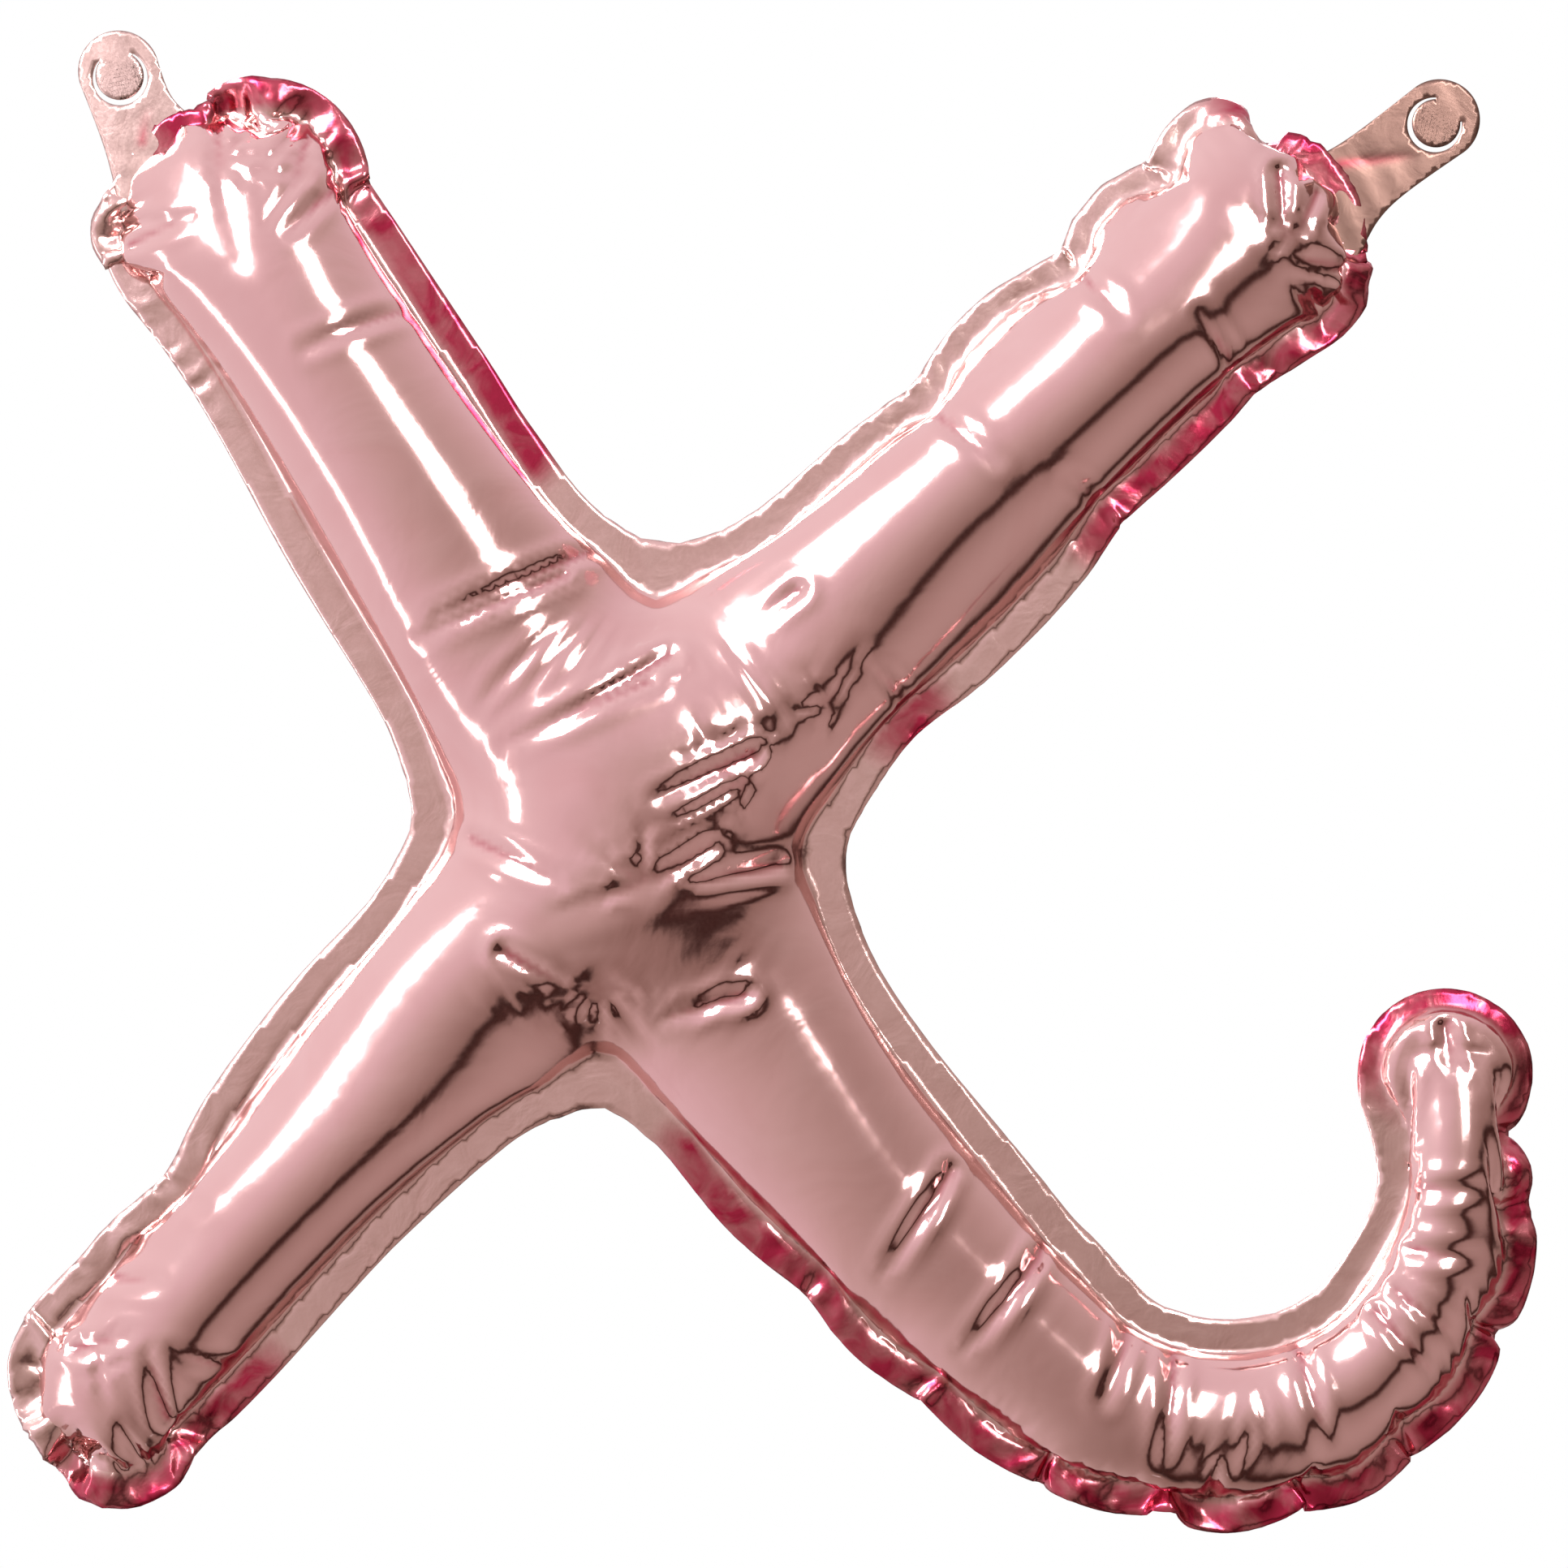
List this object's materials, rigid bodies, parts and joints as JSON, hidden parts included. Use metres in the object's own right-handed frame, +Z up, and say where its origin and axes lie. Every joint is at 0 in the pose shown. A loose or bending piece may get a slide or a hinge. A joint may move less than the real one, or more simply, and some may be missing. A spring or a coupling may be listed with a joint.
{
  "type": "letter foil balloon",
  "caption": "Rose-gold foil balloon in the shape of a script letter x with a curled tail, hang tabs with ribbon holes and a self-sealing straw valve.",
  "frame": {"origin": "centre of the left hang tab's ribbon hole, on the seam plane between the two foil sheets", "axes": "+Z up as the letter hangs and reads, +X to the right of someone who reads it, +Y from the front foil to the back foil, so the front faces -Y"},
  "size_m": [0.3595, 0.05, 0.3538],
  "materials": {
    "foil": "mirror-bright rose-gold metallised film",
    "valve_film": "clear film"
  },
  "bodies": {
    "balloon": {"front_panel": "foil", "back_panel": "foil", "sealed_margin": "foil", "valve_neck": "valve_film"},
    "left_tab": {"left_hang_tab": "foil"},
    "left_flap": {"left_tab_flap": "foil"},
    "right_tab": {"right_hang_tab": "foil"},
    "right_flap": {"right_tab_flap": "foil"},
    "valve_front": {"valve_front_film": "valve_film"},
    "valve_back": {"valve_back_film": "valve_film"}
  },
  "joints": [
    {"name": "left_tab_fold", "type": "hinge", "parent": "balloon", "child": "left_tab", "pos_m": [0.00446, 0, -0.01183], "axis": [0.809, 0, 0.5878], "range_deg": [-80, 80], "stiffness_Nm_per_rad": 0.0001},
    {"name": "left_flap_push", "type": "hinge", "parent": "left_tab", "child": "left_flap", "pos_m": [-0.00103, 0, 0.00484], "axis": [0.9781, 0, 0.2079], "range_deg": [-90, 90], "stiffness_Nm_per_rad": 0.00002},
    {"name": "right_tab_fold", "type": "hinge", "parent": "balloon", "child": "right_tab", "pos_m": [0.29209, 0, -0.02464], "axis": [0.6587, 0, -0.7524], "range_deg": [-80, 80], "stiffness_Nm_per_rad": 0.0001},
    {"name": "right_flap_push", "type": "hinge", "parent": "right_tab", "child": "right_flap", "pos_m": [0.31438, 0, -0.00748], "axis": [0.7314, 0, -0.682], "range_deg": [-90, 90], "stiffness_Nm_per_rad": 0.00002},
    {"name": "valve_front_opening", "type": "hinge", "parent": "balloon", "child": "valve_front", "pos_m": [0.2773, -0.0001, -0.03758], "axis": [-0.6587, 0, 0.7524], "range_deg": [0, 6], "stiffness_Nm_per_rad": 0.00002},
    {"name": "valve_back_opening", "type": "hinge", "parent": "balloon", "child": "valve_back", "pos_m": [0.2773, 0.0001, -0.03758], "axis": [-0.6587, 0, 0.7524], "range_deg": [-6, 0], "stiffness_Nm_per_rad": 0.00002}
  ],
  "couplings": [
    {"joint": "valve_back_opening", "follows": "valve_front_opening", "ratio": -1}
  ]
}
